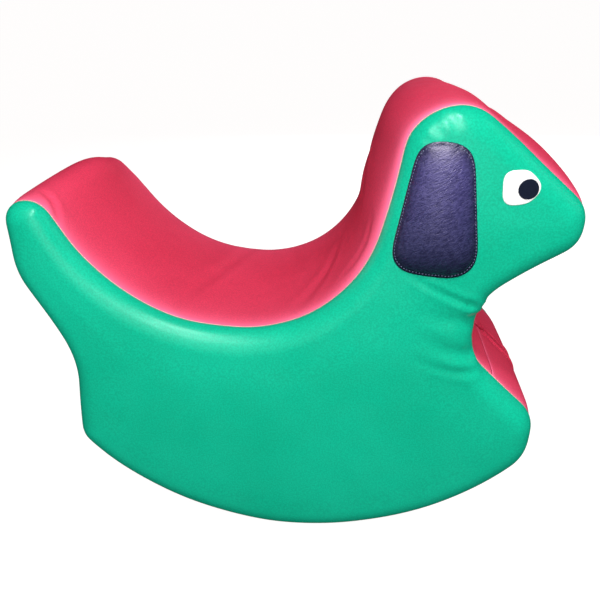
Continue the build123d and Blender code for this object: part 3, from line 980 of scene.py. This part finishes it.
def blown_sheet(loop, spacing, sewn):
    """Cloth simulation: air pressure on a sheet held at its rim, as a tree of heights from 0 to 1."""
    points, faces = fill_net(loop, spacing)
    mesh = bpy.data.meshes.new("blown_sheet")
    flat = np.column_stack([points[:, 0], np.zeros(len(points)), points[:, 1]])
    mesh.from_pydata((flat * MM).tolist(), [], faces)
    sheet = new_object("blown_sheet", mesh)
    rim = sheet.vertex_groups.new(name="sewn")
    rim.add([int(k) for k in np.nonzero(loop_gap(points, loop) < sewn)[0]], 1.0, "REPLACE")
    cloth = sheet.modifiers.new("cloth", "CLOTH")
    cloth.settings.quality = 8
    cloth.settings.mass = 0.3
    cloth.settings.tension_stiffness = 1.0
    cloth.settings.compression_stiffness = 1.0
    cloth.settings.bending_stiffness = 0.1
    cloth.settings.use_pressure = True
    cloth.settings.uniform_pressure_force = 250.0
    cloth.settings.vertex_group_mass = "sewn"
    cloth.settings.effector_weights.gravity = 0
    cloth.point_cache.frame_start, cloth.point_cache.frame_end = 1, BLOWN_BY
    for moment in range(1, BLOWN_BY + 1):
        bpy.context.scene.frame_set(moment)
    ready = sheet.evaluated_get(bpy.context.evaluated_depsgraph_get())
    depth = np.array([abs(v.co.y) for v in ready.data.vertices])
    bpy.data.objects.remove(sheet)
    bpy.data.meshes.remove(mesh)
    bpy.context.scene.frame_set(1)
    print("sheet blown up by", round(depth.max() / MM, 2), "mm,", len(points), "points")
    depth = depth / depth.max()
    return BVHTree.FromPolygons([Vector((x, z, d)) for (x, z), d in zip(points, depth)],
                                [tuple(f) for f in faces])


ear_sheet = blown_sheet(ear_loop, 4.0, 3.0)


def ear_fullness(share, x, z):
    """How full the ear is at a point, 0 to 1: from the simulation, or a formula when there is no simulated
    sheet.
    """
    if ear_sheet is None:
        return ease((share - 0.045) / 0.62) ** 0.8
    hit = ear_sheet.ray_cast(Vector((x, z, 9.0)), Vector((0, 0, -1)))
    return hit[0].z if hit[0] else 0.0


def ear_height(share, x, z):
    """Sewn flat near the edge, then full, with a soft dent or two."""
    body = ear_fullness(share, x, z)
    pinch = -0.75 * math.exp(-((share - 0.05) / 0.016) ** 2)
    dent = 0.4 * math.sin(x / 15.0 + z / 27.0) * body
    edge = EAR_EDGE * min(1.0, 0.35 + share / 0.03)
    return edge + pinch + EAR_DOME * body + dent


ears = {}
for side, word in SIDES:
    ears[word] = patch("ear_pad_" + word, ear_loop, EAR_ROWS, ear_height, navy_vinyl, side)
    # Painted shade: darkest at the rim, fading towards the middle
    rim_shade_of_rows = np.repeat(RIM_SHADE * np.exp(-(np.array(EAR_ROWS) / RIM_REACH) ** 1.5), len(ear_loop))
    mark(ears[word], "rim", np.r_[rim_shade_of_rows, 0.0, np.full(len(ear_loop), RIM_SHADE)])
    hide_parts("ear_" + word)

wadding, wadding_shader = new_material("wadding")
fluff = span(wadding, noise(wadding, 500.0, 5.0), 0.0, 1.0)
dress(wadding_shader, Base_Color=two_tone(wadding, fluff, (0.72, 0.72, 0.70), (0.90, 0.90, 0.88)),
      Normal=bump(wadding, fluff, 0.0008, 0.8), Roughness=1.0)
WAD_INSET = 0.16
WAD_EDGE = 1.5
WAD_RISE = 4.2
wad_loop = ear_loop + (ear_loop.mean(axis=0) - ear_loop) * WAD_INSET
for side, word in SIDES:
    wad = patch("ear_wad_" + word, wad_loop, EAR_ROWS[::2],
                lambda share, x, z: WAD_EDGE + WAD_RISE * ease(share / 0.7), wadding, side)
    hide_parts("ear_wadding_" + word)
print("ears size", [round(v / MM, 1) for v in ears["right"].dimensions])

# %% [markdown]
# ## Eyes
# Each eye is a thin white patch with a black disc on it, cut with a hot knife and sewn close to
# the edge, so the rims are rounded over and pulled down into the panel.

# %% Lay on the eyes
def flat_patch(thickness):
    """Height rule of a thin patch with a rounded rim."""
    return lambda share, x, z: thickness * min(1.0, 0.25 + (share / 0.05) ** 0.5 * 0.75)


EYE_THICK = 0.9
PUPIL_LIFT = 0.85
EYE_ROWS = [0, .01, .03, .05, .1, .2, .35, .5, .65, .8, .92]
eye_loop = node_outline("eye_white_right", 120, 4.2)
pupil_loop = node_outline("eye_pupil_right", 72, 1.0)
for side, word in SIDES:
    white = patch("eye_patch_" + word, eye_loop, EYE_ROWS, flat_patch(EYE_THICK),
                  white_vinyl, side)
    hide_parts("eye_white_" + word)
    dark = patch("pupil_patch_" + word, pupil_loop, EYE_ROWS,
                 lambda share, x, z: PUPIL_LIFT + flat_patch(EYE_THICK)(share, x, z),
                 black_vinyl, side)
    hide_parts("eye_pupil_" + word)
print("eye", round(float(np.ptp(eye_loop[:, 0])), 1), "mm long")

# %% [markdown]
# ## One machine for everything that repeats along a line
# Stitches and zip teeth are the same small shape set again and again along a path. A Geometry
# Nodes tree does it: the path mesh becomes a curve, the curve is divided at a spacing, a small
# oval is set on every point, turned along the path and stood up on the surface, and the copies
# are made real. The path carries its own "up" directions as an attribute.

# %% Build the repeating tree
def repeat_tree():
    """Geometry Nodes: small ovals along a path. Inputs: Spacing, Length, Width, Height, Finish."""
    tree = bpy.data.node_groups.new("ovals_along_path", "GeometryNodeTree")
    tree.interface.new_socket("Geometry", in_out="INPUT", socket_type="NodeSocketGeometry")
    for name, usual in (("Spacing", 0.003), ("Length", 0.0024), ("Width", 0.0007), ("Height", 0.0005)):
        socket = tree.interface.new_socket(name, in_out="INPUT", socket_type="NodeSocketFloat")
        socket.default_value = usual
    tree.interface.new_socket("Finish", in_out="INPUT", socket_type="NodeSocketMaterial")
    tree.interface.new_socket("Geometry", in_out="OUTPUT", socket_type="NodeSocketGeometry")
    add = tree.nodes.new
    given, result = add("NodeGroupInput"), add("NodeGroupOutput")
    curve, divide = add("GeometryNodeMeshToCurve"), add("GeometryNodeResampleCurve")
    divide.mode = "LENGTH"
    oval = add("GeometryNodeMeshUVSphere")
    oval.inputs["Segments"].default_value = 6
    oval.inputs["Rings"].default_value = 4
    oval.inputs["Radius"].default_value = 0.5
    size = add("ShaderNodeCombineXYZ")
    tangent, up = add("GeometryNodeInputTangent"), add("GeometryNodeInputNamedAttribute")
    up.data_type = "FLOAT_VECTOR"
    up.inputs["Name"].default_value = "up"
    stand, along = add("FunctionNodeAlignRotationToVector"), add("FunctionNodeAlignRotationToVector")
    stand.axis, along.axis = "Z", "X"
    along.pivot_axis = "Z"
    place, real = add("GeometryNodeInstanceOnPoints"), add("GeometryNodeRealizeInstances")
    smooth, finish = add("GeometryNodeSetShadeSmooth"), add("GeometryNodeSetMaterial")
    for source, given_out, target, taken_in in (
            (given, "Geometry", curve, "Mesh"), (curve, "Curve", divide, "Curve"),
            (given, "Spacing", divide, "Length"), (given, "Length", size, "X"),
            (given, "Width", size, "Y"), (given, "Height", size, "Z"),
            (up, "Attribute", stand, "Vector"), (stand, "Rotation", along, "Rotation"),
            (tangent, "Tangent", along, "Vector"), (divide, "Curve", place, "Points"),
            (oval, "Mesh", place, "Instance"), (along, "Rotation", place, "Rotation"),
            (size, "Vector", place, "Scale"), (place, "Instances", real, "Geometry"),
            (real, "Geometry", smooth, "Geometry"), (smooth, "Geometry", finish, "Geometry"),
            (given, "Finish", finish, "Material"), (finish, "Geometry", result, "Geometry")):
        tree.links.new(source.outputs[given_out], target.inputs[taken_in])
    return tree


oval_tree = repeat_tree()


def ovals_along(name, path, ups, material, slot, closed=False, **sizes):
    """Run the tree on a path in mm and keep the result as a plain mesh on the rocker."""
    mesh = bpy.data.meshes.new(name + "_path")
    count = len(path)
    edges = [(k, (k + 1) % count) for k in range(count if closed else count - 1)]
    mesh.from_pydata((np.asarray(path) * MM).tolist(), edges, [])
    attribute = mesh.attributes.new("up", "FLOAT_VECTOR", "POINT")
    attribute.data.foreach_set("vector", np.asarray(ups, float).ravel())
    runner = new_object(name + "_path", mesh)
    nodes = runner.modifiers.new("ovals", "NODES")
    nodes.node_group = oval_tree
    for item in oval_tree.interface.items_tree:
        if item.item_type == "SOCKET" and item.in_out == "INPUT":
            if item.name in sizes:
                nodes[item.identifier] = sizes[item.name]
            elif item.name == "Finish":
                nodes[item.identifier] = material
    ready = runner.evaluated_get(bpy.context.evaluated_depsgraph_get())
    made = bpy.data.meshes.new_from_object(ready)
    bpy.data.objects.remove(runner)
    bpy.data.meshes.remove(mesh)
    for left_over in [a.name for a in made.attributes if a.name == "up"]:
        made.attributes.remove(made.attributes[left_over])
    made.name = name
    piece = new_object(name, made)
    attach(piece, "rocker")
    return piece


print("tree", oval_tree.name, len(oval_tree.nodes), "nodes")

# %% [markdown]
# ## Stitches round the ears
# A navy running stitch, a little over three millimetres a step, holds the ear down. It lies in the
# shallow channel just inside the edge.

# %% Stitch the ears
def thread_material(name, dark, light):
    """Twisted polyester thread: two close tones and a rough, slightly shiny face."""
    material, shader = new_material(name)
    twist = span(material, noise(material, 1600.0, 1.0), 0.0, 1.0)
    dress(shader, Base_Color=two_tone(material, twist, dark, light),
          Normal=bump(material, twist, 0.0001, 0.8), Roughness=0.55)
    return material


navy_thread = thread_material("navy_thread", (0.080, 0.090, 0.170), (0.180, 0.200, 0.320))
red_thread = thread_material("red_thread", (0.36, 0.012, 0.030), (0.55, 0.03, 0.06))
STITCH_SHARE = 0.045
STITCH_LIFT = 0.12
stitch_loop = ear_loop + (ear_loop.mean(axis=0) - ear_loop) * STITCH_SHARE
stitch_path = np.array([(x, -panel_height(x, z) - ear_height(STITCH_SHARE, x, z) - STITCH_LIFT, z)
                        for x, z in stitch_loop])
for side, word in SIDES:
    ups = np.tile((0.0, side, 0.0), (len(stitch_path), 1))
    ring = ovals_along("ear_thread_" + word, stitch_path * np.array([1, -side, 1]), ups,
                       navy_thread, "thread", closed=True,
                       Spacing=0.0034, Length=0.0021, Width=0.0012, Height=0.0009)
    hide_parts("ear_stitches_" + word)
print("ear stitches", len(ring.data.polygons), "faces a side")

# %% [markdown]
# ## The zip
# A coil zip: two rows of nylon loops on woven tapes, which lie under the folded lips. The rows
# are set by the same tree as the stitches, and one starts a little later than the other, so that
# they mesh. The tapes, stops, slider and pull keep their fixed shapes and get their finishes.

# %% Set the zip teeth
TOOTH_PITCH = 1.5
TOOTH_DEPTH = 4.9
TOOTH_AWAY = 1.75
CHEST_STOP = 224
RUMP_STOP = 186
teeth_columns = [c for c in np.arange(rump_column, COLUMNS + chest_column) % COLUMNS
                 if outline[c, 1] < (CHEST_STOP if outline[c, 0] > 0 else RUMP_STOP)]
red_nylon, nylon_shader = new_material("red_nylon")
nylon_cloud = span(red_nylon, noise(red_nylon, 300.0, 2.0), 0, 1)
dress(nylon_shader, Base_Color=two_tone(red_nylon, nylon_cloud, (0.42, 0.010, 0.024), (0.55, 0.020, 0.040)),
      Roughness=0.35)


def sole_path(columns, away, lift):
    """Places at a distance from the middle and a lift off the outline, and the ways out from it."""
    line = outline[columns] + out_way[columns] * np.reshape(lift, (-1, 1))
    path = np.column_stack([line[:, 0], np.full(len(columns), away), line[:, 1]])
    return path, np.column_stack([out_way[columns, 0], np.zeros(len(columns)), out_way[columns, 1]])


for side, word in SIDES:
    path, ups = sole_path(teeth_columns, side * TOOTH_AWAY, -TOOTH_DEPTH)
    if side > 0:
        path[0] = (path[0] + path[1]) / 2
    row = ovals_along("zip_coil_" + word, path, ups, red_nylon, "red_nylon",
                      Spacing=TOOTH_PITCH * MM, Length=1.05 * MM, Width=3.0 * MM, Height=1.3 * MM)
    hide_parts("zip_teeth_" + word)
print("zip coil", len(row.data.polygons), "faces a row")

# %% [markdown]
# ## Stitches along the lips
# Each folded lip is top-stitched a little inside its outer line, so that it lies flat. The thread
# matches the red and follows the lip's height, which falls away where the toy meets the floor.

# %% Stitch the lips beside the zip
LIP_AWAY = 11.6
LIP_SHARE = 0.98
LIP_THREAD_LIFT = 0.05
LIP_THREAD_FLOOR = 0.3
lip_places = range(3, len(sole_columns) - 3)
thread_lifts = [lip_rise(i) * LIP_SHARE + LIP_THREAD_LIFT for i in lip_places]
for side, word in SIDES:
    path, ups = sole_path(sole_columns[lip_places], side * LIP_AWAY, thread_lifts)
    path[:, 2] = np.maximum(path[:, 2], LIP_THREAD_FLOOR)
    ovals_along("lip_thread_" + word, path, ups, red_thread, "thread",
                Spacing=0.0036, Length=0.0029, Width=0.0007, Height=0.0005)
print("lips stitched")

# %% [markdown]
# ## Finishes of the zip's fixed parts
# Woven tape has fine cross ribs. The slider and pull are die-cast metal with a hard red lacquer,
# worn paler in small spots. The stops are bright steel.

# %% Give the tapes, stops, slider and pull their finishes
red_webbing, webbing_shader = new_material("red_webbing")
ribs = add_node(red_webbing, "ShaderNodeTexWave", Vector=own_place(red_webbing), Scale=420.0, Distortion=0.4)
ribs.bands_direction = "Y"
weave = ribs.outputs["Fac"]
dress(webbing_shader, Base_Color=two_tone(red_webbing, weave, (0.34, 0.008, 0.020), (0.52, 0.020, 0.045)),
      Normal=bump(red_webbing, weave, 0.0002, 0.7), Roughness=0.85)

red_metal, lacquer_shader = new_material("red_metal")
worn = span(red_metal, noise(red_metal, 420.0, 4.0), 0.0, 1.0, 0.60, 0.68)
dress(lacquer_shader, Base_Color=two_tone(red_metal, worn, (0.50, 0.012, 0.028), (0.62, 0.10, 0.10)),
      Roughness=span(red_metal, worn, 0.26, 0.42, 0, 1), Coat_Weight=0.4)

zip_steel, steel_shader = new_material("zip_steel")
brushed = noise(zip_steel, 1500.0, 2.0, stretch=(1, 0.1, 1))
dress(steel_shader, Base_Color=two_tone(zip_steel, brushed, (0.48, 0.48, 0.50), (0.72, 0.72, 0.74)),
      Roughness=span(zip_steel, brushed, 0.24, 0.40), Metallic=1.0)

for node, finish in (("zip_tape_left", red_webbing), ("zip_tape_right", red_webbing),
                     ("zip_slider", red_metal), ("zip_pull", red_metal),
                     ("zip_stop_chest", zip_steel), ("zip_stop_rump", zip_steel)):
    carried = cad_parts[node]
    if not carried.material_slots:
        carried.data.materials.append(finish)
    for place in carried.material_slots:
        place.material = finish
print("fixed parts finished")
